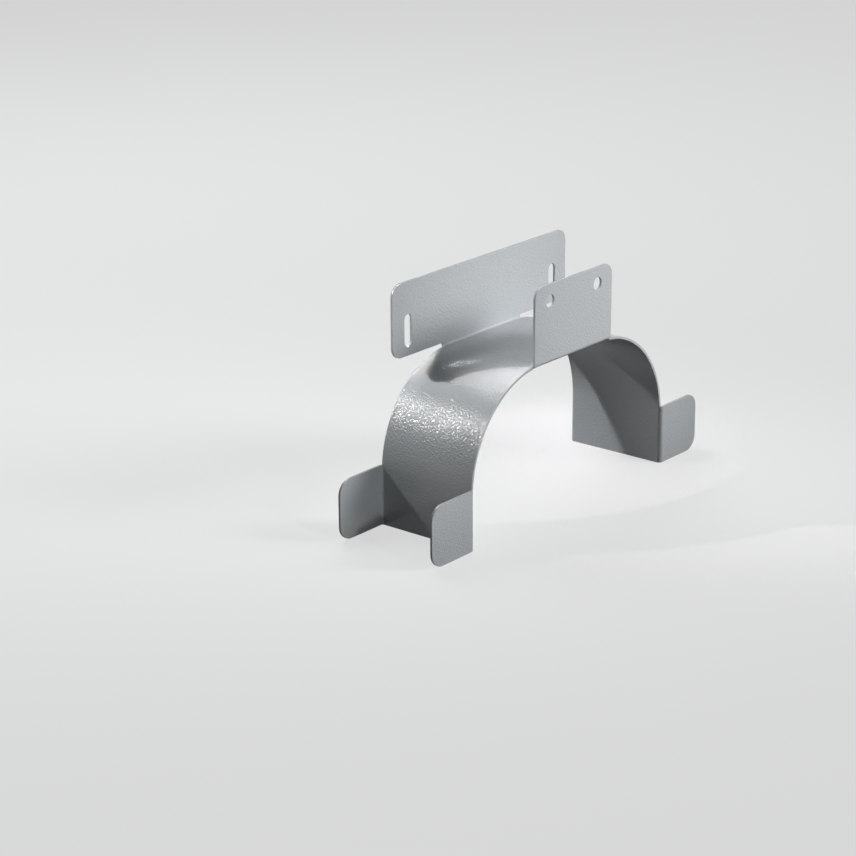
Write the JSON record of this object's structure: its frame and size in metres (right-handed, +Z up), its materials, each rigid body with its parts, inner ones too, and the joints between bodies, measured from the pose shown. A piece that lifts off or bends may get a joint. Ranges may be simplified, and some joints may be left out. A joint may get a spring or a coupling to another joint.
{
  "type": "cable slack holder",
  "caption": "Arched saddle folded from sheet steel, with a wide back plate, a smaller front plate and four side tabs, for carrying loops of spare cable.",
  "frame": {"origin": "on the rear face of the back plate, midway between its two slots", "axes": "+X along the back plate, +Y into the wall or rail behind it, +Z up"},
  "size_m": [0.284, 0.075, 0.154],
  "materials": {
    "powder_coat": "light grey powder coat with a fine grain, satin"
  },
  "bodies": {
    "root": {"holder": "powder_coat"}
  },
  "joints": []
}
